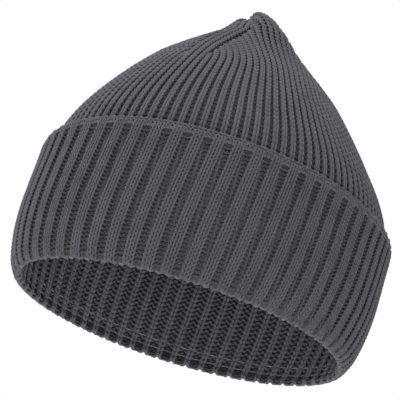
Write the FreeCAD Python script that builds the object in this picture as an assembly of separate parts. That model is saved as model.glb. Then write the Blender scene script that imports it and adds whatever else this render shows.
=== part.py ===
import FreeCAD, Part
import math
import os

# Knit beanie: a rib-knit tube whose crown is narrowed along four decrease lines, each with a
# spine of three ribs that runs on to the tip, and whose lower end is turned up outside as a deep
# 2x2 rib cuff. Millimetres, +Z up to the crown, rim on Z = 0, the front towards -Y. Every ring
# is drawn round and then drawn out into the oval of a head.

# Driving dimensions
MEAN_RADIUS = 98.0          # outside of the cuff near the rim, mean of the oval's half-axes
OVAL = 0.0755               # half-width is (1 - OVAL) of the mean, half-length (1 + OVAL)
TOTAL_HEIGHT = 196.0
CUFF_HEIGHT = 73.9          # rim to the cast-on edge
BODY_WALL = 3.6             # 1x1 rib, over the raised ribs
LAYER_GAP = 0.3             # between the cuff and the tube it is folded over
BAND_TOP = 66.0             # where the heavy inner band gives way to the finer crown, behind the cuff
DECREASE_START = 122.0      # height where the four decrease lines begin
SPINE_AZIMUTH = 18.5        # first spine, degrees from the front towards +X
SPINE_COUNT = 4
SPINE_WIDTH = 13.0          # three ribs that run on between the decreases
SPINE_END = 14.0            # radius where a spine dips between the puffed ends of two gores
TURN_HEIGHT = 8.0           # height of the turned edge at the rim
REST_INNER = 90.0           # flat ring that the hat stands on
REST_OUTER = 91.6
RIM_EDGE = (92.8, 0.8)      # rounding between that ring and the cuff
LIP_RADIUS = 99.2           # where the cuff's shoulder meets the cast-on edge
SHOULDER_RADIUS = 100.5
SHOULDER_DROP = 1.2         # the shoulder's middle below the lip
EDGE_CHAIN_RADIUS = 0.8     # cast-on chain along the cuff's top edge
ELASTIC_RADIUS = 0.35       # elastic thread knitted in near the rim
ELASTIC_RINGS = {           # radius and height of each round
    "elastic_thread_lower": (88.35, 6.0),
    "elastic_thread_upper": (88.95, 11.0),
}
THREAD_SIDES = 8            # flats round a thread's section
LOBE_RADIUS = 9.5           # puffed end of each gore beside the pinched tip
LOBE_OFFSET = 10.0
TACK_RADIUS = 3.0           # last loops and the thread that draws them together
TACK_CLEARANCE = 0.2
TACK_LOW = 180.0
TACK_HIGH = 191.0
TACK_ROUNDING = 1.4

# Outside of the tube, radius and height, from the turned edge to the crown's tip
BODY_OUTLINE = [
    (92.6, TURN_HEIGHT), (93.8, 14.0), (95.7, 26.0), (96.7, 48.0), (96.9, 68.0), (95.2, 80.0),
    (83.8, 104.5), (63.3, 135.0), (37.5, 165.0), (16.0, 184.0), (6.0, 189.0), (2.0, 190.0),
]
# Outside of the cuff, from the turned edge to the shoulder under its cast-on edge
CUFF_OUTLINE = [(93.6, 2.0), (95.3, 5.0), (97.6, 12.0), (100.1, 26.0), (101.0, 48.0), (101.2, 67.0)]

# Inside of the turned edge, from the flat ring up to the band
TURN_OUTLINE = [(REST_INNER, 0.0), (89.1, 1.4), (88.8, 4.5)]

CUFF_ROWS = 5               # points of the tube's outline that lie behind the cuff
TUBE_SAMPLES = 25           # points that the tube's inner wall is drawn through
CUFF_SAMPLES = 9            # the same for the cuff's inner wall
FLOOR_CUT = 1.0             # depth cut off below the rim to leave a true flat
FAR = 400.0                 # larger than the hat in every direction


def point(radius, height):
    return FreeCAD.Vector(radius, 0, height)


def curve_through(outline):
    curve = Part.BSplineCurve()
    curve.interpolate([point(radius, height) for radius, height in outline])
    return curve


def offset_outline(curve, distance, count):
    """Points at equal parameters along the curve, moved off it towards larger radii."""
    first, last = curve.FirstParameter, curve.LastParameter
    moved = []
    for index in range(count):
        parameter = first + (last - first) * index / (count - 1)
        place = curve.value(parameter)
        tangent = curve.tangent(parameter)[0]
        normal = FreeCAD.Vector(tangent.z, 0, -tangent.x)
        moved.append(place + normal * distance)
    return moved


def line(start, end):
    return Part.LineSegment(start, end).toShape()


def revolve(edges):
    face = Part.Face(Part.Wire(edges))
    return face.revolve(FreeCAD.Vector(0, 0, 0), FreeCAD.Vector(0, 0, 1), 360)


def ring_shell(outline, outside, inside, count):
    """Solid of revolution between two offsets of one outline; minus is towards the axis."""
    curve = curve_through(outline)
    walls = []
    for distance in (outside, inside):
        wall = Part.BSplineCurve()
        wall.interpolate(offset_outline(curve, distance, count))
        walls.append(wall)
    outer, inner = walls
    edges = [
        outer.toShape(),
        line(outer.EndPoint, inner.EndPoint),
        inner.toShape(),
        line(inner.StartPoint, outer.StartPoint),
    ]
    return revolve(Part.__sortEdges__(edges))


def slab(low, high):
    corner = FreeCAD.Vector(-FAR, -FAR, low)
    return Part.makeBox(2 * FAR, 2 * FAR, high - low, corner)


def turned(shape, degrees):
    shape.rotate(FreeCAD.Vector(0, 0, 0), FreeCAD.Vector(0, 0, 1), degrees)
    return shape


def half_axes():
    return MEAN_RADIUS * (1 - OVAL), MEAN_RADIUS * (1 + OVAL)


def spine_angles():
    """Angles about Z on the round form where the spines cut the oval into equal lengths."""
    half_width, half_length = half_axes()
    steps = 3600
    azimuth = math.radians(SPINE_AZIMUTH)
    start = math.atan2(-math.cos(azimuth) / half_length, math.sin(azimuth) / half_width)
    step = 2 * math.pi / steps
    lengths = [0.0]
    for index in range(steps):
        angle = start + (index + 0.5) * step
        speed = math.hypot(half_width * math.sin(angle), half_length * math.cos(angle))
        lengths.append(lengths[-1] + speed * step)
    angles = []
    for number in range(SPINE_COUNT + 1):
        target = lengths[-1] * number / SPINE_COUNT
        index = min(range(len(lengths)), key=lambda place: abs(lengths[place] - target))
        angles.append(math.degrees(start + index * step))
    return angles


def oval(shape):
    matrix = FreeCAD.Matrix()
    matrix.scale(1 - OVAL, 1 + OVAL, 1)
    return shape.transformGeometry(matrix)


def tube_between(low, high):
    return ring_shell(BODY_OUTLINE, 0.0, -BODY_WALL, TUBE_SAMPLES).common(slab(low, high))


def wedge(start, end):
    upright = FreeCAD.Vector(0, 0, 1)
    return turned(Part.makeCylinder(FAR, FAR, FreeCAD.Vector(0, 0, 0), upright, end - start), start)


def spine_strip(angle):
    corner = FreeCAD.Vector(SPINE_END, -SPINE_WIDTH / 2, 0)
    return turned(Part.makeBox(FAR, SPINE_WIDTH, FAR, corner), angle)


def tack_hole():
    return Part.makeCylinder(TACK_RADIUS + TACK_CLEARANCE, TOTAL_HEIGHT)


def gore(start, end):
    """The panel between two spines, with its puffed end beside the drawn-in tip."""
    lobe = Part.makeSphere(LOBE_RADIUS, point(LOBE_OFFSET, TOTAL_HEIGHT - LOBE_RADIUS))
    puffed = tube_between(DECREASE_START, FAR).fuse(turned(lobe, (start + end) / 2))
    panel = puffed.common(wedge(start, end)).cut(tack_hole())
    return panel.cut(spine_strip(start)).cut(spine_strip(end))


def spine(angle):
    """Three ribs up a decrease line, as far as the puffed ends of the gores beside it."""
    return tube_between(DECREASE_START, FAR).common(spine_strip(angle))


def cuff():
    """Turned-up cuff and the rounded edge where the fabric turns, before its flat is cut."""
    inner_curve = curve_through(BODY_OUTLINE[:CUFF_ROWS])
    inner = Part.BSplineCurve()
    inner.interpolate(offset_outline(inner_curve, LAYER_GAP, CUFF_SAMPLES))
    outer = curve_through(CUFF_OUTLINE)
    top = CUFF_HEIGHT - 2 * EDGE_CHAIN_RADIUS
    lip = point(LIP_RADIUS, top)
    shoulder = Part.Arc(outer.EndPoint, point(SHOULDER_RADIUS, top - SHOULDER_DROP), lip)
    bottom = Part.Arc(point(REST_OUTER, 0), point(*RIM_EDGE), outer.StartPoint)
    turn_end = point(BODY_OUTLINE[0][0] - BODY_WALL, TURN_HEIGHT)
    turn = Part.BSplineCurve()
    turn.interpolate([point(*place) for place in TURN_OUTLINE] + [turn_end])
    above = point(inner.EndPoint.x, top)
    edges = [
        line(point(REST_INNER, -FLOOR_CUT), point(REST_OUTER, -FLOOR_CUT)),
        line(point(REST_OUTER, -FLOOR_CUT), point(REST_OUTER, 0)),
        bottom.toShape(),
        outer.toShape(),
        shoulder.toShape(),
        line(lip, above),
        line(above, inner.EndPoint),
        inner.toShape(),
        line(inner.StartPoint, turn_end),
        turn.toShape(),
        line(point(REST_INNER, 0), point(REST_INNER, -FLOOR_CUT)),
    ]
    return revolve(Part.__sortEdges__(edges))


def thread_ring(radius, height, thickness):
    """Ring of thread with a section of flats whose points lie on its thickness."""
    corners = []
    for side in range(THREAD_SIDES):
        angle = 2 * math.pi * (side + 0.5) / THREAD_SIDES
        corners.append(point(radius + thickness * math.cos(angle), height + thickness * math.sin(angle)))
    edges = [line(corners[side - 1], corners[side]) for side in range(THREAD_SIDES)]
    return revolve(edges)


def edge_chain():
    radius = (BODY_OUTLINE[CUFF_ROWS - 1][0] + LAYER_GAP + LIP_RADIUS) / 2
    return thread_ring(radius, CUFF_HEIGHT - EDGE_CHAIN_RADIUS, EDGE_CHAIN_RADIUS)


def tack():
    upright = FreeCAD.Vector(0, 0, 1)
    foot = FreeCAD.Vector(0, 0, TACK_LOW)
    knot = Part.makeCylinder(TACK_RADIUS, TACK_HIGH - TACK_LOW, foot, upright)
    return knot.makeFillet(TACK_ROUNDING, knot.Edges)


def nodes():
    pieces = {
        "cuff_knit": cuff(),
        "cuff_edge_chain": edge_chain(),
        "inner_band_knit": tube_between(TURN_HEIGHT, BAND_TOP),
        "crown_wall_knit": tube_between(BAND_TOP, DECREASE_START),
    }
    angles = spine_angles()
    for number in range(1, SPINE_COUNT + 1):
        pieces["crown_gore_%d" % number] = gore(angles[number - 1], angles[number])
        pieces["crown_spine_%d" % number] = spine(angles[number - 1])
    for name, place in ELASTIC_RINGS.items():
        pieces[name] = thread_ring(*place, ELASTIC_RADIUS)
    pieces["crown_tack"] = tack()
    return pieces


def main():
    os.makedirs("parts", exist_ok=True)
    for name, round_form in nodes().items():
        shape = oval(round_form).cut(slab(-FAR, 0))
        print(name, shape.isValid(), len(shape.Solids), round(shape.Volume), shape.BoundBox)
        shape.exportStep("parts/%s.step" % name)


main()
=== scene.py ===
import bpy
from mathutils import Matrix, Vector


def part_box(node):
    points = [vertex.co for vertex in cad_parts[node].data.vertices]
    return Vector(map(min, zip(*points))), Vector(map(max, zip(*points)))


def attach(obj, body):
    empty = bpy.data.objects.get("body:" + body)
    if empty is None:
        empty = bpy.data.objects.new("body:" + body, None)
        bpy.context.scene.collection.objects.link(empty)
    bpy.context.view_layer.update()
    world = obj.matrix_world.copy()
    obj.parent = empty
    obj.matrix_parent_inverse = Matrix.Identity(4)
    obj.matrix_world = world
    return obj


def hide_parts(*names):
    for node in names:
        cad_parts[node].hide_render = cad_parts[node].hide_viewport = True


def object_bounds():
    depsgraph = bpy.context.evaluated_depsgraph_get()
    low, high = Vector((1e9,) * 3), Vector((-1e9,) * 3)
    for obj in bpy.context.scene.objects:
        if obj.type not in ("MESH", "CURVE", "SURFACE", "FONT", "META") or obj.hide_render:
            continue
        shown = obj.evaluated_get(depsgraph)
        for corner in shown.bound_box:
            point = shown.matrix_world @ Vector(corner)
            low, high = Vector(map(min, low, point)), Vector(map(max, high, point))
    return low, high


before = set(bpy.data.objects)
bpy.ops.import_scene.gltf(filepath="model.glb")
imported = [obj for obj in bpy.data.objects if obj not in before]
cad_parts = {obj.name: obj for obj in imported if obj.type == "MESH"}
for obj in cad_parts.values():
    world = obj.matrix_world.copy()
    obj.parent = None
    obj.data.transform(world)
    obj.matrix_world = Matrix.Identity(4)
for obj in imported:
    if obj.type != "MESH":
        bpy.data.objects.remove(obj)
FRAME_BOX = [[float(value) for value in corner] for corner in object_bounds()]

import math

import bpy
import numpy as np
from mathutils import Matrix, Vector
from mathutils.bvhtree import BVHTree

bl_info = {
    "name": "Rib-knit beanie",
    "version": (1, 0, 0),
    "blender": (4, 5, 0),
    "location": "3D View > Sidebar > Beanie",
    "description": "Knits a cuffed beanie loop by loop around its CAD frame",
    "category": "Object",
}

MM = 0.001
WIDTH, LENGTH, HEIGHT = (high - low for low, high in zip(*FRAME_BOX))
OVAL = (LENGTH - WIDTH) / (LENGTH + WIDTH)      # the oval's departure from round
FULL_TURN = 2 * math.pi
GORES = 4
OVAL_STEPS = 2880
FAR = 1.0                   # well outside the hat
PROBE_STEP = 1.0 * MM       # between the heights where the frame's walls are probed
NEAR_TURN = 0.01            # either side of a point, to find the way round the hat
NEAR_LENGTH = 1.5 * MM      # either side of a point, to find the way up
KNIT, PURL = 1.0, -1.0
UP = np.array((0.0, 0.0, 1.0))
MATTING = 0.3 * MM          # thickness of the matted fibres that close the holes between loops
MATTING_RAISED = 0.3        # how far it follows the raised wales, by the share of their relief
MATTING_SUNKEN = 1.3        # the same for the sunken wales
SUNKEN_PAINTED_SHADE = 0.4           # painted shade on the sunken wales' yarn: how dark it is, by the share of the matting's painted shade
HIDDEN_PAINTED_SHADE = 0.45          # painted shade on the parts of loops that pass behind others
FIRST_TONE = 0.3            # painted darkening of the inside's first row, besides, where it turns outward out of the shade: it takes back the band's painted light there
SUNKEN_YARN = 0.88          # thickness of the yarn in the sunken wales, squeezed by the raised ones
OWN_SIDE = 0.85             # how far a loop's outer points keep to the side of their own wale
LOOP_POINTS = 8             # guide points along a loop
BAND_LOOP_POINTS = 10       # the same in the band's larger loops
UNEVENNESS = 0.16 * MM      # how far the yarn strays from its even loops
GRAIN = 420.0               # how often it strays, per metre
SMOOTHING = 6               # rounds of smoothing that take the facets out of a probed wall


# ---------------------------------------------------------------- settings

def length(name, default, description):
    return bpy.props.FloatProperty(
        name=name, description=description, default=default, min=0.0, unit="LENGTH", precision=5)


def distance(name, default, description):
    return bpy.props.FloatProperty(
        name=name, description=description, default=default, unit="LENGTH", precision=5)


def factor(name, default, description):
    return bpy.props.FloatProperty(name=name, description=description, default=default, min=0.0, max=1.0)


def count(name, default, description):
    return bpy.props.IntProperty(name=name, description=description, default=default, min=1)


def angle(name, degrees, description):
    return bpy.props.FloatProperty(
        name=name, description=description, default=math.radians(degrees), subtype="ANGLE")


def colour(name, default, description):
    return bpy.props.FloatVectorProperty(
        name=name, description=description, default=default, size=3, min=0.0, max=1.0, subtype="COLOR")


class BeanieForm(bpy.types.PropertyGroup):
    """How the fabric lies on the form"""
    cuff_ribs: count("Cuff ribs", 62, "Raised bands round the cuff and round the inner band")
    crown_ribs: count("Crown ribs", 112, "Ribs round the crown where it leaves the cuff")
    spine_ribs: count("Spine ribs", 3, "Ribs of each spine between two gores")
    spine_azimuth: angle("First spine", 18.5, "Direction of the first spine, from the front to the right")
    seed: bpy.props.IntProperty(name="Seed", description="Seed of the yarn's unevenness", default=7)
    yarn_sides: count("Yarn sides", 5, "Flats round a yarn's section")
    lean: length("Lean", 3.8 * MM, "How far the soft cuff's top tips aside of its rim")
    lean_azimuth: angle("Lean direction", 135.0, "Where it tips to, from the front towards the right")


GAUGE = {           # settings of a layer's stitches: label, kind and description
    "course": ("Course", length, "Height of one row of stitches"),
    "raised_share": ("Raised share", factor, "Share of each rib's width that its raised wales take"),
    "slant": ("Slant", distance, "How far a rib has moved round the hat at the layer's top"),
    "reach": ("Loop reach", length, "How far a loop's head rises above its row's middle"),
    "splay": ("Splay", length, "Sideways swing that makes a loop narrow at its neck"),
    "depth": ("Loop depth", length, "How far legs stand in front of heads"),
    "relief": ("Rib relief", length, "How far raised wales stand off the fabric's middle"),
    "yarn": ("Yarn radius", length, "Radius of the yarn"),
}


def gauge_settings(**defaults):
    return {key: kind(name, defaults[key], description)
            for key, (name, kind, description) in GAUGE.items() if key in defaults}


class CuffGauge(bpy.types.PropertyGroup):
    """Stitches of the turned-up cuff"""
    __annotations__ = gauge_settings(
        course=2.1 * MM, raised_share=0.58, slant=5.3 * MM, reach=1.62 * MM, splay=0.68 * MM,
        depth=0.5 * MM, relief=1.25 * MM, yarn=0.56 * MM)


class BandGauge(bpy.types.PropertyGroup):
    """Stitches of the heavy inner band"""
    __annotations__ = gauge_settings(
        course=3.1 * MM, raised_share=0.46, slant=-2.0 * MM, reach=2.5 * MM, splay=0.75 * MM,
        depth=0.7 * MM, relief=1.1 * MM, yarn=0.96 * MM)


class CrownGauge(bpy.types.PropertyGroup):
    """Stitches of the crown"""
    __annotations__ = gauge_settings(
        course=3.3 * MM, raised_share=0.54, reach=2.75 * MM, splay=0.55 * MM,
        depth=0.5 * MM, relief=0.95 * MM, yarn=0.78 * MM)


class CrownShape(bpy.types.PropertyGroup):
    """How the crown closes"""
    spine_width: length("Spine width", 13.0 * MM, "Width of each spine on its way to the tip")
    spine_narrows: length("Spine narrows", 30.0 * MM, "Radius where the spines begin to narrow")
    spine_end: length("Spine end", 8.0 * MM, "Radius where the spines have run out")
    settle: length("Settle", 60.0 * MM, "Length over which rows and ribs of a gore find their own lie")
    spread: bpy.props.FloatProperty(
        name="Spread", description="Width of a gore's ribs after settling, of that before", default=1.16)
    valley: length("Valley", 1.0 * MM, "How far spines dip beside the tip")
    valley_reach: length("Valley reach", 14.0 * MM, "How far from the tip the spines dip")


class YarnColours(bpy.types.PropertyGroup):
    """Colours of the yarns and the studio"""
    charcoal: colour("Charcoal", (0.074, 0.072, 0.085), "Main yarn")
    fleck: colour("Fleck", (0.1, 0.098, 0.112), "Paler fibres in the main yarn")
    shade: colour("Shade", (0.056, 0.054, 0.065), "Darker fibres in the main yarn")
    # painted shade: the tone that the base colour is painted down to deep between the loops and behind them
    recess_painted_shade: factor("Recess", 0.37, "Tone deep between the loops, where the fuzz keeps light out")
    elastic: colour("Elastic", (0.26, 0.26, 0.27), "Covered elastic thread")
    floor: colour("Floor", (0.86, 0.86, 0.86), "Studio floor")


# ---------------------------------------------------------------- the form

def oval_angles():
    """Round-form angle against the share of the way round the oval, from the first spine."""
    azimuth = bpy.context.scene.beanie_form.spine_azimuth
    start = math.atan2(-math.cos(azimuth) / (1 + OVAL), math.sin(azimuth) / (1 - OVAL))
    angles = start + np.linspace(0.0, FULL_TURN, OVAL_STEPS + 1)
    middle = (angles[1:] + angles[:-1]) / 2
    speed = np.hypot((1 - OVAL) * np.sin(middle), (1 + OVAL) * np.cos(middle))
    shares = np.concatenate(([0.0], np.cumsum(speed)))
    return shares / shares[-1], angles


# How far the soft hat tips aside by its height, in shares of its lean
LEAN_HEIGHTS = (0.0, 72 * MM, 80 * MM, 90 * MM, 105 * MM, 125 * MM, 168 * MM, 190 * MM)
LEAN_SHARES = (-0.5, 0.5, 0.5, 0.4, 0.15, 0.0, -0.15, -2.4)
# How far its tip is squeezed flat, in shares of its width
SQUEEZE_HEIGHTS = (140 * MM, 150 * MM, 158 * MM, 166 * MM, 174 * MM, 182 * MM, 190 * MM)
SQUEEZE_SHARES = (0.0, 0.04, 0.09, 0.16, 0.24, 0.33, 0.4)


def slumped(points):
    """The points where the soft hat carries them: tipped aside, and its tip squeezed the same way."""
    form = bpy.context.scene.beanie_form
    way = np.array((math.sin(form.lean_azimuth), -math.cos(form.lean_azimuth), 0.0))
    height = points[..., 2]
    tip = form.lean * np.interp(height, LEAN_HEIGHTS, LEAN_SHARES)
    squeeze = points @ way * np.interp(height, SQUEEZE_HEIGHTS, SQUEEZE_SHARES)
    return points + (tip - squeeze)[..., None] * way


class Outline:
    """Middle line of a layer of fabric on the round form, by the length along it"""

    def __init__(self, radii, heights):
        self.radii = np.asarray(radii)
        self.heights = np.asarray(heights)
        steps = np.hypot(np.diff(self.radii), np.diff(self.heights))
        self.marks = np.concatenate(([0.0], np.cumsum(steps)))
        self.length = self.marks[-1]
        self.shares, self.angles = oval_angles()

    def radius(self, mark):
        return np.interp(mark, self.marks, self.radii)

    def height(self, mark):
        return np.interp(mark, self.marks, self.heights)

    def mark_at_height(self, height):
        return float(np.interp(height, self.heights, self.marks))

    def around(self, mark):
        return FULL_TURN * self.radius(mark)

    def spot(self, theta, mark):
        right = self.radius(mark) * (1 - OVAL) * np.cos(theta)
        back = self.radius(mark) * (1 + OVAL) * np.sin(theta)
        return slumped(np.stack((right, back, self.height(mark)), axis=-1))

    def place(self, share, mark):
        """Points of the fabric with their ways across, along and outward."""
        turns = np.floor(share)
        theta = np.interp(share - turns, self.shares, self.angles)
        across = self.spot(theta + NEAR_TURN, mark) - self.spot(theta - NEAR_TURN, mark)
        along = self.spot(theta, mark + NEAR_LENGTH) - self.spot(theta, mark - NEAR_LENGTH)
        outward = np.cross(across, along)
        ways = (across, along, outward)
        return self.spot(theta, mark), *(way / np.linalg.norm(way, axis=-1, keepdims=True) for way in ways)


def walls(*names):
    vertices, faces = [], []
    for name in names:
        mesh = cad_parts[name].data
        first = len(vertices)
        vertices.extend(vertex.co.copy() for vertex in mesh.vertices)
        faces.extend([first + corner for corner in face.vertices] for face in mesh.polygons)
    return BVHTree.FromPolygons(vertices, faces)


def wall_outline(tree, low, high, inside):
    """Round-form radii and heights of a wall, probed with level rays in the first spine's plane."""
    azimuth = bpy.context.scene.beanie_form.spine_azimuth
    way = Vector((math.sin(azimuth), -math.cos(azimuth), 0.0))
    heights = np.linspace(low, high, round((high - low) / PROBE_STEP) + 1)
    radii = []
    for height in heights:
        axis = Vector((0.0, 0.0, height))
        hit = tree.ray_cast(axis, way)[0] if inside else tree.ray_cast(axis + way * FAR, -way)[0]
        if hit is None:
            raise RuntimeError("the frame has no wall at height %.1f mm" % (height / MM))
        radii.append(math.hypot(hit.x / (1 - OVAL), hit.y / (1 + OVAL)))
    return np.array(radii), heights


def moved_off(radii, heights, gap):
    """The outline moved along its normals, positive away from the axis."""
    out, up = np.gradient(radii), np.gradient(heights)
    size = np.hypot(out, up)
    return radii + gap * up / size, heights - gap * out / size


def smoothed(values):
    values = np.array(values)
    for _ in range(SMOOTHING):
        values[1:-1] = (values[:-2] + 2 * values[1:-1] + values[2:]) / 4
    return values


def smoothstep(values):
    values = np.clip(values, 0.0, 1.0)
    return values * values * (3 - 2 * values)


def fabric_outline(names, low, high, gap, lead, inside=False):
    """Middle line of the fabric behind a wall of the frame, with the steps that lead up to it."""
    radii, heights = wall_outline(walls(*names), low, high, inside)
    radii, heights = moved_off(smoothed(radii), heights, gap)
    radii = np.concatenate(([radii[0] + step for step, _ in lead], radii))
    heights = np.concatenate(([heights[0] + step for _, step in lead], heights))
    return Outline(radii, heights)


# ---------------------------------------------------------------- rows of stitches

class Rows:
    """Courses of yarn as polylines that carry each point's place in its loop, and the matted
    fibres between them as thin strips"""

    # sunk carries each point's painted shade, 0 in the open to 1 in full shade, to the yarn's material
    NUMBERS = ("phase", "side", "sunk", "matted")
    WAYS = ("across", "along", "outward")

    def __init__(self):
        self.parts = {name: [] for name in ("points", *self.NUMBERS, *self.WAYS)}
        self.edges = []
        self.faces = []
        self.size = 0

    def store(self, points, phase, side, sunk, matted, across, along, outward):
        values = (points, phase, side, sunk, matted, across, along, outward)
        for name, value in zip(self.parts, values):
            self.parts[name].append(value)
        self.size += len(points)

    def add(self, points, phase, side, sunk, across, along, outward, closed):
        total = len(points)
        first = np.arange(total if closed else total - 1)
        self.edges.append(np.stack((first, (first + 1) % total), axis=-1) + self.size)
        self.store(points, phase, side, sunk, np.zeros(total), across, along, outward)

    def add_matting(self, middles, outwards, tones):
        """Closed strips up each wale, from points by row, by wale and by place across the wale,
        and each row's painted shade."""
        half = outwards * MATTING / 2
        layers = np.stack((middles + half, middles - half))
        total = layers[..., 0].size
        front, back = np.arange(total).reshape(layers.shape[:-1]) + self.size
        sheets = (
            (front[:-1, :, :-1], front[:-1, :, 1:], front[1:, :, 1:], front[1:, :, :-1]),
            (back[:-1, :, :-1], back[1:, :, :-1], back[1:, :, 1:], back[:-1, :, 1:]),
            (front[0, :, :-1], back[0, :, :-1], back[0, :, 1:], front[0, :, 1:]),
            (front[-1, :, :-1], front[-1, :, 1:], back[-1, :, 1:], back[-1, :, :-1]),
            (front[:-1, :, 0], front[1:, :, 0], back[1:, :, 0], back[:-1, :, 0]),
            (front[:-1, :, -1], back[:-1, :, -1], back[1:, :, -1], front[1:, :, -1]),
        )
        for corners in sheets:
            self.faces.append(np.stack(corners, axis=-1).reshape(-1, 4))
        flat, still, full = np.zeros((total, 3)), np.zeros(total), np.ones(total)
        tone = np.broadcast_to(np.asarray(tones)[:, None, None], layers.shape[:-1]).ravel()
        self.store(layers.reshape(-1, 3), still, still, tone, full, flat, flat, flat)

    def mesh(self, name):
        data = {key: np.concatenate(values) for key, values in self.parts.items()}
        edges = np.concatenate(self.edges)
        mesh = bpy.data.meshes.new(name)
        mesh.vertices.add(self.size)
        mesh.vertices.foreach_set("co", data["points"].astype(np.float32).ravel())
        mesh.edges.add(len(edges))
        mesh.edges.foreach_set("vertices", edges.astype(np.int32).ravel())
        if self.faces:
            faces = np.concatenate(self.faces).astype(np.int32)
            mesh.loops.add(faces.size)
            mesh.loops.foreach_set("vertex_index", faces.ravel())
            mesh.polygons.add(len(faces))
            mesh.polygons.foreach_set("loop_start", np.arange(len(faces), dtype=np.int32) * 4)
            mesh.update(calc_edges=True)
        for key in self.NUMBERS:
            mesh.attributes.new(key, "FLOAT", "POINT")
            mesh.attributes[key].data.foreach_set("value", data[key].astype(np.float32))
        for key in self.WAYS:
            mesh.attributes.new(key, "FLOAT_VECTOR", "POINT")
            mesh.attributes[key].data.foreach_set("vector", data[key].astype(np.float32).ravel())
        return mesh


def loop_phases(wales, points_per_loop):
    """Places within the row in wales, and each point's phase within its loop."""
    places = np.arange(wales * points_per_loop) / points_per_loop
    return places, -math.pi + FULL_TURN * (places % 1.0)


def loop_sides(sides, points_per_loop, closed):
    """Knit or purl for every point, drawn from one to the other where the yarn passes between wales."""
    sides = np.asarray(sides, float)
    before = np.roll(sides, 1)
    after = np.roll(sides, -1)
    if not closed:
        before[0], after[-1] = sides[0], sides[-1]
    values = np.repeat(sides[:, None], points_per_loop, axis=1)
    values[:, 0] = (before + sides) / 2
    values[:, 1] = OWN_SIDE * sides + (1 - OWN_SIDE) * before
    values[:, -1] = OWN_SIDE * sides + (1 - OWN_SIDE) * after
    return values.ravel()


def rib_edges(ribs, pattern, raised_share):
    """Shares round the hat where each wale of a repeated rib starts, and whether each is knit."""
    knits = sum(1 for side in pattern if side == KNIT)
    purls = len(pattern) - knits
    widths = [raised_share / knits if side == KNIT else (1 - raised_share) / purls for side in pattern]
    edges = np.concatenate(([0.0], np.cumsum(widths * ribs))) / ribs
    return edges, list(pattern) * ribs


def nowhere(mark):
    """The share of something that a layer hasn't got at any length."""
    return 0.0


def matting_depth(sides):
    """Where the matted fibres lie in each wale, as a share of the ribs' relief."""
    return np.where(np.asarray(sides) == KNIT, MATTING_RAISED, -MATTING_SUNKEN)


def painted_shade(side, phase, share=1.0, first=False):
    """Painted shade on the yarn, from 0 in the open to 1 deep in the fabric; a first row's feet lie open."""
    hidden = HIDDEN_PAINTED_SHADE * (1 + side * np.cos(2 * phase)) / 2
    if first:
        hidden = FIRST_TONE + hidden * (1 + np.cos(phase)) / 2
    return share * (SUNKEN_PAINTED_SHADE * (1 - side) / 2 + hidden)


class Layer:
    """A layer of level rounds of stitches. face is -1 to show the inside. fill gives the share by
    which sunken wales rise to the raised ones at each length up the outline, pale the share by
    which they lose their painted shade, and slant how far a rib moves round the hat on its way up."""

    def __init__(self, outline, gauge, edges, sides, points=LOOP_POINTS, face=1,
                 fill=nowhere, pale=nowhere, slant=0.0):
        self.outline, self.gauge, self.face = outline, gauge, face
        self.edges, self.sides, self.points = edges, sides, points
        self.fill, self.pale = fill, pale
        self.slanting = slant / outline.around(0.0) / outline.length

    def place(self, shares, mark):
        return self.outline.place(shares + self.slanting * mark, np.full_like(shares, mark))

    def rows(self, marks):
        """The rounds at the given lengths up the outline, and the matted fibres between them."""
        rows = Rows()
        gauge = self.gauge
        places, phase = loop_phases(len(self.sides), self.points)
        share = np.interp(places, np.arange(len(self.edges)), self.edges)
        side = loop_sides(self.sides, self.points, True)
        widths = np.repeat(np.diff(self.edges) / np.diff(self.edges).max(), self.points)
        for mark in marks:
            points, across, along, outward = self.place(share, mark)
            outward = outward * self.face
            points = points + outward * (gauge.relief * self.fill(mark) * (1 - side))[:, None]
            tone = painted_shade(side, phase, 1 - self.pale(mark), self.face < 0 and mark < gauge.course)
            rows.add(points, phase, side, tone, across * widths[:, None], along, outward, True)
        self.add_matting(rows, marks)
        return rows

    def add_matting(self, rows, marks):
        course, edges = self.gauge.course, self.edges
        shares = np.stack((edges[:-1], (edges[:-1] + edges[1:]) / 2, edges[1:]), axis=-1)
        depth = matting_depth(self.sides)
        before, after = (depth + np.roll(depth, 1)) / 2, (depth + np.roll(depth, -1)) / 2
        stand = np.stack((before, depth, after), axis=-1)
        low, high = marks[0] - course / 2, min(marks[-1] + course / 2, self.outline.length)
        if low < course:
            low = 0.0
        middles, outwards, tones = [], [], []
        for mark in (low, *marks, high):
            points, _, _, outward = self.place(shares, mark)
            filled = self.fill(mark)
            lift = self.face * self.gauge.relief * (stand * (1 - filled) + filled)
            middles.append(points + outward * lift[..., None])
            outwards.append(outward)
            # the matted fibres are a real fibre fill, painted in full shade except by the share where the
            # layer is pale
            tones.append(1 - self.pale(mark))
        rows.add_matting(np.stack(middles), np.stack(outwards), tones)


def split_marks(marks, pieces):
    return [marks[round(len(marks) * part / pieces):round(len(marks) * (part + 1) / pieces)]
            for part in range(pieces)]


# ---------------------------------------------------------------- nodes

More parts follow.
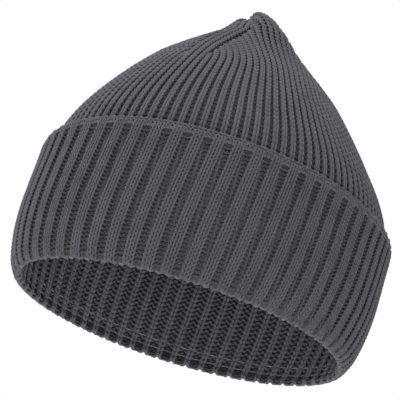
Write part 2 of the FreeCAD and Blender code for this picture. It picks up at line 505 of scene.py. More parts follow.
class Wiring:
    """Short ways to add nodes to a tree"""

    def __init__(self, tree):
        self.tree = tree

    def feed(self, socket, value):
        if isinstance(value, bpy.types.NodeSocket):
            self.tree.links.new(value, socket)
        else:
            socket.default_value = value

    def node(self, kind, feeds=None, **settings):
        made = self.tree.nodes.new(kind)
        for name, value in settings.items():
            setattr(made, name, value)
        for name, value in (feeds or {}).items():
            self.feed(made.inputs[name], value)
        return made

    def number(self, operation, *values):
        return self.node("ShaderNodeMath", dict(enumerate(values)), operation=operation).outputs[0]

    def vector(self, operation, *values):
        return self.node("ShaderNodeVectorMath", dict(enumerate(values)), operation=operation).outputs[0]

    def scaled(self, vector, size):
        feeds = {0: vector, "Scale": size}
        return self.node("ShaderNodeVectorMath", feeds, operation="SCALE").outputs[0]

    def stored(self, name, kind="FLOAT"):
        made = self.node("GeometryNodeInputNamedAttribute", {"Name": name}, data_type=kind)
        return made.outputs["Attribute"]

    def captured(self, geometry, kind, name, value):
        made = self.node("GeometryNodeCaptureAttribute", domain="POINT")
        made.capture_items.new(kind, name)
        self.feed(made.inputs["Geometry"], geometry)
        self.feed(made.inputs[name], value)
        return made.outputs


YARN_INPUTS = (
    "Reach", "Splay", "Depth", "Relief", "Twist", "Yarn Radius", "Sunken Yarn", "Unevenness", "Grain")
YARN_SOCKETS = {**dict.fromkeys(YARN_INPUTS, "Float"), "Sides": "Int", "Seed": "Int", "Material": "Material"}


def loop_shift(wiring, given, side):
    """How far each guide point moves to bend its row into loops."""
    phase = wiring.stored("phase")
    double = wiring.number("MULTIPLY", phase, 2.0)
    sideways = wiring.number("MULTIPLY", given["Splay"], wiring.number("SINE", double))
    upward = wiring.number("MULTIPLY", given["Reach"], wiring.number("COSINE", phase))
    sunk = wiring.number("MULTIPLY", given["Depth"], wiring.number("COSINE", double))
    stand = wiring.number("MULTIPLY", side, wiring.number("SUBTRACT", given["Relief"], sunk))
    wound = wiring.number("MULTIPLY", given["Twist"], wiring.number("SINE", phase))
    ways = [wiring.stored(name, "FLOAT_VECTOR") for name in Rows.WAYS]
    shift = wiring.vector("ADD", wiring.scaled(ways[0], sideways), wiring.scaled(ways[1], upward))
    shift = wiring.vector("ADD", shift, wiring.scaled(ways[2], wiring.number("ADD", stand, wound)))
    place = wiring.node("GeometryNodeInputPosition").outputs[0]
    noise = wiring.node(
        "ShaderNodeTexNoise", {"Vector": place, "Scale": given["Grain"], "W": given["Seed"]},
        noise_dimensions="4D")
    stray = wiring.vector("SUBTRACT", noise.outputs["Color"], (0.5, 0.5, 0.5))
    return wiring.vector("ADD", shift, wiring.scaled(stray, given["Unevenness"]))


def yarn_tree():
    """Bends rows of guide points into loops and gives them the yarn's thickness."""
    tree = bpy.data.node_groups.new("knitted_yarn", "GeometryNodeTree")
    tree.is_modifier = True
    sockets = tree.interface
    sockets.new_socket(name="Geometry", in_out="INPUT", socket_type="NodeSocketGeometry")
    for name, kind in YARN_SOCKETS.items():
        sockets.new_socket(name=name, in_out="INPUT", socket_type="NodeSocket" + kind)
    sockets.new_socket(name="Geometry", in_out="OUTPUT", socket_type="NodeSocketGeometry")
    wiring = Wiring(tree)
    given = wiring.node("NodeGroupInput").outputs
    side = wiring.stored("side")
    matting = wiring.node(
        "GeometryNodeSeparateGeometry",
        {"Geometry": given["Geometry"], "Selection": wiring.stored("matted")}, domain="POINT")
    bent = wiring.node(
        "GeometryNodeSetPosition",
        {"Geometry": matting.outputs["Inverted"], "Offset": loop_shift(wiring, given, side)})
    strand = wiring.node("GeometryNodeMeshToCurve", {0: bent.outputs[0]})
    along = wiring.node("GeometryNodeSplineParameter").outputs["Length"]
    marked = wiring.captured(strand.outputs[0], "FLOAT", "Length", along)
    ring = wiring.node(
        "GeometryNodeCurvePrimitiveCircle",
        {"Resolution": given["Sides"], "Radius": given["Yarn Radius"]}, mode="RADIUS")
    spot = wiring.vector("NORMALIZE", wiring.node("GeometryNodeInputPosition").outputs[0])
    turned = wiring.captured(ring.outputs["Curve"], "VECTOR", "Round", spot)
    thinner = wiring.number("MULTIPLY", wiring.number("SUBTRACT", 1.0, given["Sunken Yarn"]), 0.5)
    thickness = wiring.number("MULTIPLY_ADD", side, thinner, wiring.number("SUBTRACT", 1.0, thinner))
    tube = wiring.node("GeometryNodeCurveToMesh", {
        "Curve": marked["Geometry"], "Profile Curve": turned["Geometry"], "Fill Caps": True,
        "Scale": thickness})
    result = wiring.node("GeometryNodeSetShadeSmooth", {"Geometry": tube.outputs[0]}).outputs[0]
    stores = (("yarn_length", "FLOAT", marked["Length"]), ("yarn_round", "FLOAT_VECTOR", turned["Round"]))
    for name, kind, value in stores:
        store = wiring.node(
            "GeometryNodeStoreNamedAttribute", {"Geometry": result, "Name": name},
            data_type=kind, domain="POINT")
        wiring.feed(store.inputs["Value"], value)
        result = store.outputs[0]
    joined = wiring.node("GeometryNodeJoinGeometry", {0: result})
    wiring.feed(joined.inputs[0], matting.outputs["Selection"])
    result = joined.outputs[0]
    for name in ("phase", "side", "matted", *Rows.WAYS):
        result = wiring.node("GeometryNodeRemoveAttribute", {"Geometry": result, "Name": name}).outputs[0]
    whole = wiring.node("GeometryNodeRealizeInstances", {"Geometry": result})
    painted = wiring.node(
        "GeometryNodeSetMaterial", {"Geometry": whole.outputs[0], "Material": given["Material"]})
    wiring.node("NodeGroupOutput", {0: painted.outputs[0]})
    return tree


def modifier_input(modifier, name, value):
    for item in modifier.node_group.interface.items_tree:
        if item.name == name and item.in_out == "INPUT":
            modifier[item.identifier] = value
            return
    raise RuntimeError("the yarn tree has no input named " + name)


def knitted(name, rows, sizes, material, replaced):
    """Turns guide rows into a plain mesh of yarn that rides on the hat."""
    form = bpy.context.scene.beanie_form
    tree = bpy.data.node_groups.get("knitted_yarn") or yarn_tree()
    guide = bpy.data.objects.new(name + "_guide", rows.mesh(name + "_guide"))
    bpy.context.scene.collection.objects.link(guide)
    modifier = guide.modifiers.new("Yarn", "NODES")
    modifier.node_group = tree
    values = dict(zip(YARN_INPUTS, sizes))
    values.update({"Sides": form.yarn_sides, "Seed": form.seed, "Material": material})
    for key, value in values.items():
        modifier_input(modifier, key, value)
    depsgraph = bpy.context.evaluated_depsgraph_get()
    mesh = bpy.data.meshes.new_from_object(guide.evaluated_get(depsgraph), depsgraph=depsgraph)
    mesh.name = name
    guide_mesh = guide.data
    bpy.data.objects.remove(guide)
    bpy.data.meshes.remove(guide_mesh)
    piece = bpy.data.objects.new(name, mesh)
    bpy.context.scene.collection.objects.link(piece)
    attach(piece, "root")
    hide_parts(*replaced)
    return piece


def loop_sizes(gauge):
    """The yarn tree's inputs for stitches."""
    return (gauge.reach, gauge.splay, gauge.depth, gauge.relief, 0.0, gauge.yarn, SUNKEN_YARN,
            UNEVENNESS, GRAIN)


def strand_sizes(radius, unevenness, reach=0.0, relief=0.0, twist=0.0):
    """The same for a strand that isn't knitted."""
    return reach, 0.0, 0.0, relief, twist, radius, 1.0, unevenness, GRAIN


# ---------------------------------------------------------------- finishes

PLIES = 2.0
PLY_TURNS = 450.0           # per metre of yarn
PLY_HEIGHT = 0.5            # how far the plies stand out, beside the single fibres
FIBRE = {"Scale": 2600.0, "Detail": 3.0}    # fineness of the single fibres, per metre
MOTTLE = {"Scale": 95.0, "Detail": 4.0}     # fineness of the paler and darker stretches
MOTTLE_RANGE = (0.3, 0.55)
FLECK_RANGE = (0.52, 0.72)
ROUGHNESS = (0.82, 1.0)
FUZZ = {"Sheen Weight": 0.22, "Sheen Roughness": 0.5, "Sheen Tint": (0.8, 0.8, 0.85, 1.0),
        "Specular IOR Level": 0.25}
BUMP_STRENGTH = 0.6
BUMP_DEPTH = 0.15 * MM


def noise(wiring, place, settings):
    return wiring.node("ShaderNodeTexNoise", {"Vector": place, **settings}).outputs["Fac"]


def ranged(wiring, value, start=(0.0, 1.0), end=(0.0, 1.0)):
    limits = dict(zip(("From Min", "From Max", "To Min", "To Max"), (*start, *end)))
    return wiring.node("ShaderNodeMapRange", {"Value": value, **limits}).outputs["Result"]


def mixed(wiring, share, first, second):
    feeds = {"Factor": share, "A": first, "B": second}
    return wiring.node("ShaderNodeMix", feeds, data_type="RGBA").outputs["Result"]


def carried(wiring, name, output):
    return wiring.node("ShaderNodeAttribute", attribute_name=name).outputs[output]


def yarn_material(name, base, fleck, shade, recess_painted_shade=1.0):
    """Twisted matt yarn: mottled, flecked with paler fibres, darkened by the painted shade its mesh carries,
    with its plies and fuzz as bump.
    """
    found = bpy.data.materials.get(name)
    if found:
        return found
    material = bpy.data.materials.new(name)
    material.use_nodes = True
    wiring = Wiring(material.node_tree)
    skin = material.node_tree.nodes["Principled BSDF"].inputs
    for key, value in FUZZ.items():
        skin[key].default_value = value
    place = wiring.node("ShaderNodeTexCoord").outputs["Object"]
    fibre = noise(wiring, place, FIBRE)
    mottle = ranged(wiring, noise(wiring, place, MOTTLE), MOTTLE_RANGE)
    tone = mixed(wiring, mottle, (*shade, 1.0), (*base, 1.0))
    tone = mixed(wiring, ranged(wiring, fibre, FLECK_RANGE), tone, (*fleck, 1.0))
    # painted shade: the sunk value, 0 to 1, paints the base colour down from full to the recess tone
    sunken = ranged(wiring, carried(wiring, "sunk", "Fac"), end=(1.0, recess_painted_shade))
    wiring.feed(skin["Base Color"], wiring.scaled(tone, sunken))
    wiring.feed(skin["Roughness"], ranged(wiring, fibre, end=ROUGHNESS))
    parts = wiring.node("ShaderNodeSeparateXYZ", {0: carried(wiring, "yarn_round", "Vector")}).outputs
    turn = wiring.number("ARCTAN2", parts["Y"], parts["X"])
    winding = wiring.number("MULTIPLY", carried(wiring, "yarn_length", "Fac"), PLY_TURNS * FULL_TURN)
    ply = wiring.number("SINE", wiring.number("ADD", wiring.number("MULTIPLY", turn, PLIES), winding))
    height = wiring.number("MULTIPLY_ADD", ply, PLY_HEIGHT, fibre)
    bump = wiring.node(
        "ShaderNodeBump", {"Strength": BUMP_STRENGTH, "Distance": BUMP_DEPTH, "Height": height})
    wiring.feed(skin["Normal"], bump.outputs["Normal"])
    return material


def tinted(values, share):
    return tuple(value * share for value in values)


def main_yarn(name="charcoal_yarn", share=1.0):
    colours = bpy.context.scene.beanie_colours
    return yarn_material(
        name, tinted(colours.charcoal, share), tinted(colours.fleck, share), tinted(colours.shade, share),
        recess_painted_shade=colours.recess_painted_shade)


# ---------------------------------------------------------------- pieces

CUFF_FOOT = 0.4 * MM        # lowest height where the cuff's wall is probed
CUFF_TOP = 1.7 * MM         # how far below the cuff's top its last stitches end
CUFF_LEAD = ((-2.4 * MM, 0.7 * MM), (-1.2 * MM, 0.2 * MM))   # where the fabric lies under the rim
CUFF_FIRST = 3.0 * MM       # length from there to the cuff's first row
CUFF_FLAT = 0.5             # how far sunken wales rise at the rim, by the share of their relief
CUFF_FLAT_LENGTH = 14.0 * MM    # length over which they sink again
CUFF_SHOULDER = 3.4 * MM    # length over which sunken wales rise to the cast-on edge
CUFF_PIECES = 5
BAND_FOOT = 8.0 * MM        # lowest height where the band's wall is probed
BAND_TOP = 1.0 * MM         # how far below the band's top its last stitches end
BAND_LEAD = (               # where the band lies below, inside the cuff's turn
    (-2.0 * MM, -7.0 * MM), (-1.2 * MM, -5.3 * MM), (-0.6 * MM, -3.0 * MM),
)
BAND_FIRST = 2.2 * MM       # length from there to the band's first row
BAND_PIECES = 2
BAND_PAINTED_LIGHT = 1.85            # painted light: the inner band's yarn is painted paler to make up for the shade inside the hat
WALL_PIECES = 3
CROWN_PROBED = 2.0 * MM     # how far below the spines' top the crown's wall is last probed
CROWN_TAIL = 12             # points of its outline from there to the axis
CROWN_FLATTENS = 0.5        # how much of its slope it keeps on that way, on average
CROWN_BEHIND = 6            # millimetres that it goes on down behind the cuff


def crown_names():
    parts = ["crown_wall_knit"]
    for number in range(1, GORES + 1):
        parts += ["crown_gore_%d" % number, "crown_spine_%d" % number]
    return parts


def half_thickness(gauge):
    return gauge.relief + gauge.depth + gauge.yarn


def crown_outline():
    """Middle line of the crown's fabric, from behind the cuff to the axis."""
    gauge = bpy.context.scene.beanie_crown
    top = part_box("crown_spine_1")[1].z - CROWN_PROBED
    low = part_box("crown_wall_knit")[0].z
    radii, heights = wall_outline(walls(*crown_names()), low, top, False)
    radii, heights = moved_off(smoothed(radii), heights, -half_thickness(gauge))
    rest = np.linspace(1.0, 0.0, CROWN_TAIL)[1:]
    slope = (heights[-1] - heights[-4]) / (radii[-4] - radii[-1])
    tail = heights[-1] + radii[-1] * slope * CROWN_FLATTENS * (1 - rest ** 2)
    behind = np.arange(CROWN_BEHIND, 0, -1) * MM
    return Outline(
        np.concatenate((np.full(CROWN_BEHIND, radii[0]), radii, radii[-1] * rest)),
        np.concatenate((heights[0] - behind, heights, tail)))


def knit_layer(layer, marks, pieces, name, material, node):
    for number, part in enumerate(split_marks(marks, pieces), 1):
        knitted(name % number, layer.rows(part), loop_sizes(layer.gauge), material, [node])


class BEANIE_OT_cuff(bpy.types.Operator):
    """Knit the turned-up 2x2 rib cuff"""
    bl_idname = "beanie.cuff"
    bl_label = "Cuff"

    def execute(self, context):
        gauge, form = context.scene.beanie_cuff, context.scene.beanie_form
        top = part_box("cuff_knit")[1].z - CUFF_TOP
        outline = fabric_outline(["cuff_knit"], CUFF_FOOT, top, -half_thickness(gauge), CUFF_LEAD)
        marks = np.linspace(CUFF_FIRST, outline.length, round(outline.length / gauge.course))

        def closing(mark):
            return 1 - smoothstep((outline.length - mark) / CUFF_SHOULDER)

        def fill(mark):
            return max(closing(mark), CUFF_FLAT * (1 - smoothstep(mark / CUFF_FLAT_LENGTH)))
        edges, sides = rib_edges(form.cuff_ribs, (KNIT, KNIT, PURL, PURL), gauge.raised_share)
        # closing also takes the painted shade away towards the cast-on edge, where the sunken wales rise
        layer = Layer(outline, gauge, edges, sides, fill=fill, pale=closing, slant=gauge.slant)
        knit_layer(layer, marks, CUFF_PIECES, "cuff_rows_%d", main_yarn(), "cuff_knit")
        return {"FINISHED"}


class BEANIE_OT_inner_band(bpy.types.Operator):
    """Knit the heavy inner band"""
    bl_idname = "beanie.inner_band"
    bl_label = "Inner band"

    def execute(self, context):
        gauge, form = context.scene.beanie_band, context.scene.beanie_form
        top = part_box("inner_band_knit")[1].z - BAND_TOP
        outline = fabric_outline(["cuff_knit", "inner_band_knit"], BAND_FOOT, top, half_thickness(gauge),
                                 BAND_LEAD, inside=True)
        marks = np.linspace(BAND_FIRST, outline.length, round(outline.length / gauge.course))
        edges, sides = rib_edges(form.cuff_ribs, (KNIT, PURL), gauge.raised_share)
        layer = Layer(outline, gauge, edges + 0.5 / form.cuff_ribs, sides, points=BAND_LOOP_POINTS,
                      face=-1, slant=gauge.slant)
        # the inside's material is the main yarn painted paler by the band's painted light
        material = main_yarn("charcoal_yarn_inside_painted_light", BAND_PAINTED_LIGHT)
        knit_layer(
            layer, marks, BAND_PIECES, "inner_band_rows_%d", material, "inner_band_knit")
        return {"FINISHED"}


class BEANIE_OT_crown_wall(bpy.types.Operator):
    """Knit the crown below its decreases"""
    bl_idname = "beanie.crown_wall"
    bl_label = "Crown wall"

    def execute(self, context):
        gauge, form = context.scene.beanie_crown, context.scene.beanie_form
        outline = crown_outline()
        last = outline.mark_at_height(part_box("crown_wall_knit")[1].z)
        marks = np.arange(last - gauge.course / 2, 0.0, -gauge.course)[::-1]
        edges, sides = rib_edges(form.crown_ribs, (KNIT, PURL), gauge.raised_share)
        layer = Layer(outline, gauge, edges - gauge.raised_share / 2 / form.crown_ribs, sides)
        knit_layer(
            layer, marks, WALL_PIECES, "crown_wall_rows_%d", main_yarn(), "crown_wall_knit")
        return {"FINISHED"}


TIP_GAP = 3.0 * MM          # length between the last row and the tip
TIP_LEAST = 4.0 * MM        # length to the tip below which rows bend no more sharply
OVERLAP = 0.8 * MM          # how far the middle of a panel's last wale may lie outside its edge
DIVE_START = 1.4 * MM       # how far inside a panel's edge its stitches start to dive
DIVE_LENGTH = 1.8 * MM      # width over which they have dived
GORE_DIVE = 0.5 * MM        # how deep a gore's edges dive
SPINE_DIVE = 0.3 * MM       # the same for a spine's
PUFFS = (           # how far each gore puffs out, at what radius and how widely
    (8.0 * MM, 21.0 * MM, 15.0 * MM),
    (6.8 * MM, 2.0 * MM, 5.0 * MM),
    (6.0 * MM, 10.0 * MM, 8.0 * MM),
    (2.0 * MM, 13.0 * MM, 8.0 * MM),
)


def gore_and_spine_marks(outline, gauge, shape, start):
    """Lengths up the gores' middles and up the spines at which each row of stitches lies."""
    middles = np.arange(start + gauge.course / 2, outline.length - TIP_GAP, gauge.course)
    return middles, middles - droop(gore_halves(outline, middles, shape), middles, start, outline, shape)


def gore_halves(outline, marks, shape):
    """Half the gores' width at each length up the outline."""
    return outline.around(marks) / GORES / 2 - spine_half(outline.radius(marks), shape)


def spine_half(radius, shape):
    """Half a spine's width: constant, then narrowing to nothing between the puffs."""
    share = (radius - shape.spine_end) / (shape.spine_narrows - shape.spine_end)
    return shape.spine_width / 2 * np.sqrt(np.clip(share, 0.0, 1.0))


def droop(side, mark, start, outline, shape):
    """How far a gore's row hangs below its middle, at a distance to the side."""
    settled = smoothstep((mark - start) / shape.settle)
    return settled * side ** 2 / (2 * np.maximum(outline.length - mark, TIP_LEAST))


def bulge(radius, middle, reach):
    return np.exp(-((radius - middle) / reach) ** 2)


class Panel:
    """A gore or a spine, knitted in open rows that end at its edges. centre is its middle by the
    share of the way round, first the side of its outermost wales, and dive how deep its edges go."""

    def __init__(self, outline, start, centre, ribs, first, drooping, swell, dive):
        scene = bpy.context.scene
        self.gauge, self.shape = scene.beanie_crown, scene.beanie_shape
        self.outline, self.start, self.centre = outline, start, centre
        self.drooping, self.swell, self.dive = drooping, swell, dive
        self.sides = [first if wale % 2 == 0 else -first for wale in range(2 * ribs - 1)]
        raised = self.gauge.raised_share
        widths = [raised if side == KNIT else 1 - raised for side in self.sides]
        edges = np.concatenate(([0.0], np.cumsum(widths)))
        self.edges = edges - edges[-1] / 2
        self.depth = matting_depth(self.sides)

    def lie(self, side, mark, half):
        """Points at distances aside of the panel's middle in the row at a length up the outline."""
        outline = self.outline
        low = droop(side, mark, self.start, outline, self.shape) if self.drooping else 0.0
        marks = mark - low * np.ones_like(side)
        share = self.centre + side / outline.around(marks)
        points, across, along, outward = outline.place(share, marks)
        lift = self.swell(side / max(half, MM), outline.radius(marks))
        dip = self.dive * smoothstep((np.abs(side) - half + DIVE_START) / DIVE_LENGTH)
        return points + lift[..., None] * UP - outward * dip[..., None], across, along, outward

    def rows(self, marks, pitch, halves):
        """The rows at the given lengths, with each one's width of a rib and half width."""
        rows = Rows()
        strips = {}
        for mark, width, half in zip(marks, pitch, halves):
            kept = [wale for wale in range(len(self.sides))
                    if abs(self.edges[wale] + self.edges[wale + 1]) / 2 * width <= half + OVERLAP]
            if not kept:
                continue
            places, phase = loop_phases(len(kept), LOOP_POINTS)
            reach = np.interp(places, np.arange(len(kept) + 1), self.edges[kept[0]:kept[-1] + 2])
            points, across, along, outward = self.lie(reach * width, mark, half)
            side = loop_sides([self.sides[wale] for wale in kept], LOOP_POINTS, False)
            rows.add(points, phase, side, painted_shade(side, phase), across, along, outward, False)
            for wale in kept:
                before, after = max(wale - 1, kept[0]), min(wale + 1, kept[-1])
                self.add_strip(strips.setdefault(wale, ([], [])), wale, before, after, mark, width, half)
        for middles, outwards in strips.values():
            # the panels' matted fibres are a real fibre fill, painted in full shade
            rows.add_matting(np.stack(middles)[:, None], np.stack(outwards)[:, None], np.ones(len(middles)))
        return rows

    def add_strip(self, strip, wale, before, after, mark, width, half):
        """Takes a wale's strip of matted fibres past one more row."""
        low, high = self.edges[wale], self.edges[wale + 1]
        spread = np.array((low, (low + high) / 2, high)) * width
        beside = np.array((self.depth[before], self.depth[wale], self.depth[after]))
        stand = self.gauge.relief * (self.depth[wale] + beside) / 2
        steps = (0.5,) if strip[0] else (-0.5, 0.5)
        for step in steps:
            points, _, _, outward = self.lie(spread, mark + step * self.gauge.course, half)
            strip[0].append(points + outward * stand[:, None])
            strip[1].append(outward)


def knit_panel(kind, number, rows, gauge):
    knitted("%s_rows_%d" % (kind, number), rows, loop_sizes(gauge), main_yarn(),
            ["crown_%s_%d" % (kind, number)])


class BEANIE_OT_gores(bpy.types.Operator):
    """Knit the four gores between the decreases"""
    bl_idname = "beanie.gores"
    bl_label = "Gores"

    def execute(self, context):
        gauge, form, shape = context.scene.beanie_crown, context.scene.beanie_form, context.scene.beanie_shape
        outline = crown_outline()
        start = outline.mark_at_height(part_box("crown_wall_knit")[1].z)
        marks, _ = gore_and_spine_marks(outline, gauge, shape, start)
        first_pitch = outline.around(start) / form.crown_ribs
        settled = smoothstep((marks - start) / shape.settle)
        pitch = (1 - settled) * outline.around(marks) / form.crown_ribs + settled * shape.spread * first_pitch
        halves = gore_halves(outline, marks, shape)
        ribs = form.crown_ribs // GORES - form.spine_ribs
        for number, (lift, radius, reach) in enumerate(PUFFS, 1):
            def swell(side, at, lift=lift, radius=radius, reach=reach):
                return lift * bulge(at, radius, reach) * np.clip(1 - side ** 4, 0.0, 1.0)
            panel = Panel(outline, start, (number - 0.5) / GORES, ribs, KNIT, True, swell, GORE_DIVE)
            knit_panel("gore", number, panel.rows(marks, pitch, halves), gauge)
        return {"FINISHED"}


class BEANIE_OT_spines(bpy.types.Operator):
    """Knit the spines that run to the tip between the gores"""
    bl_idname = "beanie.spines"
    bl_label = "Spines"

    def execute(self, context):
        gauge, form, shape = context.scene.beanie_crown, context.scene.beanie_form, context.scene.beanie_shape
        outline = crown_outline()
        start = outline.mark_at_height(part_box("crown_wall_knit")[1].z)
        _, marks = gore_and_spine_marks(outline, gauge, shape, start)
        first_pitch = outline.around(start) / form.crown_ribs
        full_pitch = shape.spine_width / form.spine_ribs
        pitch = first_pitch + (full_pitch - first_pitch) * smoothstep((marks - start) / shape.settle)
        halves = spine_half(outline.radius(marks), shape)

        def swell(side, at):
            return -shape.valley * bulge(at, 0.0, shape.valley_reach)
        ribs = form.spine_ribs + 1
        for number in range(1, GORES + 1):
            panel = Panel(outline, start, (number - 1) / GORES, ribs, PURL, False, swell, SPINE_DIVE)
            knit_panel("spine", number, panel.rows(marks, pitch, halves), gauge)
        return {"FINISHED"}


def ring_guide(radius, height, steps):
    """One closed round at a fixed radius and height, with the ways across, up and out."""
    outline = Outline([radius, radius], [height - MM, height + MM])
    share = np.arange(steps) / steps
    return outline.place(share, np.full(steps, MM))


CHAIN_POINTS = 8            # guide points of the cast-on edge along half a turn of its two strands
CHAIN_SWING = 0.4 * MM      # how far the strands swing up and down, and in and out
CHAIN_YARN = 0.48 * MM
CHAIN_UNEVENNESS = 0.15 * MM
ELASTIC_SINK = 1.1 * MM     # how far the elastic lies inside the middle of the band's fabric
ELASTIC_WEAVE = 0.4 * MM    # how far it swings behind raised wales and before sunken ones
ELASTIC_RADIUS = 0.25 * MM
ELASTIC_UNEVENNESS = 0.3 * MM
ELASTIC_FLECK, ELASTIC_SHADE = 1.3, 0.6     # tones of its paler and darker fibres
TACK_SINK = 1.0 * MM        # how far the tack starts below the crown's fabric
TACK_TURNS = 3.5
TACK_POINTS = 60
TACK_RADIUS = 3.2 * MM      # of its first turn
TACK_NARROWS = 0.75 * MM    # a turn
TACK_RISE = 0.5 * MM        # a turn
TACK_UNEVENNESS = 0.2 * MM


class BEANIE_OT_edge_chain(bpy.types.Operator):
    """Wind the cast-on edge along the top of the cuff"""
    bl_idname = "beanie.edge_chain"
    bl_label = "Cast-on edge"

    def execute(self, context):
        low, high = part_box("cuff_edge_chain")
        radius = high.x / (1 - OVAL) - (high.z - low.z) / 2
        turns = 4 * context.scene.beanie_form.cuff_ribs
        steps = turns * CHAIN_POINTS
        points, across, along, outward = ring_guide(radius, (low.z + high.z) / 2, steps)
        rows = Rows()
        for strand in range(2):
            phase = FULL_TURN * turns / 2 * np.arange(steps) / steps + math.pi * strand
            rows.add(points, phase, np.zeros(steps), np.zeros(steps), across, along, outward, True)
        sizes = strand_sizes(CHAIN_YARN, CHAIN_UNEVENNESS, reach=CHAIN_SWING, twist=CHAIN_SWING)
        knitted("edge_chain", rows, sizes, main_yarn(), ["cuff_edge_chain"])
        return {"FINISHED"}


class BEANIE_OT_elastic(bpy.types.Operator):
    """Lay the two elastic threads into the band near the rim"""
    bl_idname = "beanie.elastic"
    bl_label = "Elastic threads"

    def execute(self, context):
        gauge, form = context.scene.beanie_band, context.scene.beanie_form
        grey = context.scene.beanie_colours.elastic
        material = yarn_material(
            "elastic_yarn", grey, tinted(grey, ELASTIC_FLECK), tinted(grey, ELASTIC_SHADE))
        sizes = strand_sizes(ELASTIC_RADIUS, ELASTIC_UNEVENNESS, relief=ELASTIC_WEAVE)
        inner = walls("cuff_knit", "inner_band_knit")
        steps = form.cuff_ribs * BAND_LOOP_POINTS
        ribs = FULL_TURN * form.cuff_ribs * np.arange(steps) / steps
        side = -np.cos(ribs - math.pi * gauge.raised_share)
        still = np.zeros(steps)
        for name in ("elastic_thread_lower", "elastic_thread_upper"):
            low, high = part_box(name)
            height = (low.z + high.z) / 2
            wall = wall_outline(inner, height, height + MM, True)[0][0]
            guide = ring_guide(wall + half_thickness(gauge) - ELASTIC_SINK, height, steps)
            points, across, along, outward = guide
            rows = Rows()
            rows.add(points, still, side, still, across, along, outward, True)
            knitted(name + "_laid", rows, sizes, material, [name])
        return {"FINISHED"}


class BEANIE_OT_tack(bpy.types.Operator):
    """Coil the thread that draws the last loops together"""
    bl_idname = "beanie.tack"
    bl_label = "Tack"

    def execute(self, context):
        turns = np.linspace(0.0, TACK_TURNS, TACK_POINTS)
        radius = TACK_RADIUS - TACK_NARROWS * turns
        theta = FULL_TURN * turns
        height = crown_outline().heights[-1] - TACK_SINK + TACK_RISE * turns
        points = slumped(np.stack((radius * np.cos(theta), radius * np.sin(theta), height), axis=-1))
        flat, still = np.zeros_like(points), np.zeros(TACK_POINTS)
        rows = Rows()
        rows.add(points, still, still, still, flat, flat, flat, False)
        sizes = strand_sizes(context.scene.beanie_crown.yarn, TACK_UNEVENNESS)
        knitted("tack_coil", rows, sizes, main_yarn(), ["crown_tack"])
        return {"FINISHED"}


# ---------------------------------------------------------------- studio

VIEW_AZIMUTH = math.radians(45.0)
VIEW_RISE = math.radians(-22.193)
VIEW_ROLL = math.radians(14.947)
VIEW_DISTANCE = 680.4 * MM
VIEW_LENS = 107.73
VIEW_AIM = (-9.68 * MM, -22.65 * MM)    # to the right of the hat's middle and above it
SENSOR = 36.0
FAR_CLIP = 20.0             # well past the floor
FLOOR_SIZE = 6.0
FLOOR_ROUGHNESS = 0.9
RIM_AIM = (-0.04, 0.04, 0.02)   # the far inside of the band
HAT_AIM = (0.0, 0.0, HEIGHT / 2)
LIGHTS = (          # name, place, size, power and aim
    ("key", (-0.5, -1.3, 1.15), 0.9, 13.5, HAT_AIM),
    ("fill", (0.8, -1.2, 0.0), 1.0, 4.0, HAT_AIM),
    ("under", (0.35, -0.35, -0.7), 0.6, 2.8, RIM_AIM),
)


def add_camera():
    middle = Vector(HAT_AIM)
    right = Vector((math.cos(VIEW_AZIMUTH), math.sin(VIEW_AZIMUTH), 0.0))
    back = Vector((math.sin(VIEW_AZIMUTH) * math.cos(VIEW_RISE),
                   -math.cos(VIEW_AZIMUTH) * math.cos(VIEW_RISE), math.sin(VIEW_RISE)))
    up = back.cross(right)
    place = middle + back * VIEW_DISTANCE
    aim = middle + right * VIEW_AIM[0] + up * VIEW_AIM[1]
    away = (place - aim).normalized()
    leaning = right * math.cos(VIEW_ROLL) + up * math.sin(VIEW_ROLL)
    level = (leaning - away * leaning.dot(away)).normalized()
    above = away.cross(level)
    data = bpy.data.cameras.new("camera")
    data.sensor_width = SENSOR
    data.lens = VIEW_LENS
    data.clip_end = FAR_CLIP
    camera = bpy.data.objects.new("camera", data)
    camera.matrix_world = Matrix((
        (level.x, above.x, away.x, place.x), (level.y, above.y, away.y, place.y),
        (level.z, above.z, away.z, place.z), (0.0, 0.0, 0.0, 1.0)))
    bpy.context.scene.collection.objects.link(camera)
    bpy.context.scene.camera = camera


def floor_material():
    """Pale floor that only its upper side shows."""
    material = bpy.data.materials.new("studio_floor")
    material.use_nodes = True
    tree = material.node_tree
    wiring = Wiring(tree)
    skin = tree.nodes["Principled BSDF"]
    skin.inputs["Base Color"].default_value = (*bpy.context.scene.beanie_colours.floor, 1.0)
    skin.inputs["Roughness"].default_value = FLOOR_ROUGHNESS
    clear = wiring.node("ShaderNodeBsdfTransparent").outputs[0]
    below = wiring.node("ShaderNodeNewGeometry").outputs["Backfacing"]
    sided = wiring.node("ShaderNodeMixShader", {0: below, 1: skin.outputs[0], 2: clear})
    wiring.feed(tree.nodes["Material Output"].inputs["Surface"], sided.outputs[0])
    return material


def add_light(name, place, size, power, aim):
    data = bpy.data.lights.new(name, "AREA")
    data.shape = "DISK"
    data.size = size
    data.energy = power
    light = bpy.data.objects.new(name, data)
    light.location = place
    light.rotation_euler = (Vector(place) - Vector(aim)).to_track_quat("Z", "Y").to_euler()
    bpy.context.scene.collection.objects.link(light)


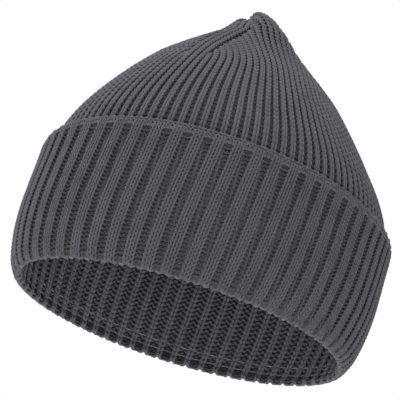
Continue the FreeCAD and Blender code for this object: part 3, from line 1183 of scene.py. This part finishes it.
class BEANIE_OT_studio(bpy.types.Operator):
    """Set up the floor, the soft light and the camera"""
    bl_idname = "beanie.studio"
    bl_label = "Studio"

    def execute(self, context):
        bpy.ops.mesh.primitive_plane_add(size=FLOOR_SIZE)
        floor = context.object
        floor.name = "studio_floor"
        floor.data.materials.append(floor_material())
        floor.visible_diffuse = False
        floor.visible_glossy = False
        floor.visible_shadow = False
        world = bpy.data.worlds.new("studio")
        world.use_nodes = True
        world.node_tree.nodes["Background"].inputs["Color"].default_value = (1.0, 1.0, 1.0, 1.0)
        world.node_tree.nodes["Background"].inputs["Strength"].default_value = 1.0
        context.scene.world = world
        for light in LIGHTS:
            add_light(*light)
        context.scene.view_settings.view_transform = "Standard"
        add_camera()
        return {"FINISHED"}


class BEANIE_PT_panel(bpy.types.Panel):
    """Lists the beanie's settings and pieces"""
    bl_label = "Beanie"
    bl_idname = "BEANIE_PT_panel"
    bl_space_type = "VIEW_3D"
    bl_region_type = "UI"
    bl_category = "Beanie"

    def draw(self, context):
        for name, kind in SETTINGS.items():
            box = self.layout.box()
            box.label(text=kind.__doc__)
            for field in kind.__annotations__:
                box.prop(getattr(context.scene, name), field)
        for kind in OPERATORS:
            self.layout.operator(kind.bl_idname)


SETTINGS = {
    "beanie_form": BeanieForm, "beanie_cuff": CuffGauge, "beanie_band": BandGauge,
    "beanie_crown": CrownGauge, "beanie_shape": CrownShape, "beanie_colours": YarnColours,
}
OPERATORS = (
    BEANIE_OT_cuff, BEANIE_OT_inner_band, BEANIE_OT_crown_wall, BEANIE_OT_gores, BEANIE_OT_spines,
    BEANIE_OT_edge_chain, BEANIE_OT_elastic, BEANIE_OT_tack, BEANIE_OT_studio,
)


def register():
    for kind in (*SETTINGS.values(), *OPERATORS, BEANIE_PT_panel):
        bpy.utils.register_class(kind)
    for name, kind in SETTINGS.items():
        setattr(bpy.types.Scene, name, bpy.props.PointerProperty(type=kind))


def unregister():
    for name in SETTINGS:
        delattr(bpy.types.Scene, name)
    for kind in reversed((*SETTINGS.values(), *OPERATORS, BEANIE_PT_panel)):
        bpy.utils.unregister_class(kind)


def main():
    register()
    for kind in OPERATORS:
        getattr(bpy.ops.beanie, kind.bl_idname.split(".")[1])()


if __name__ == "__main__":
    main()
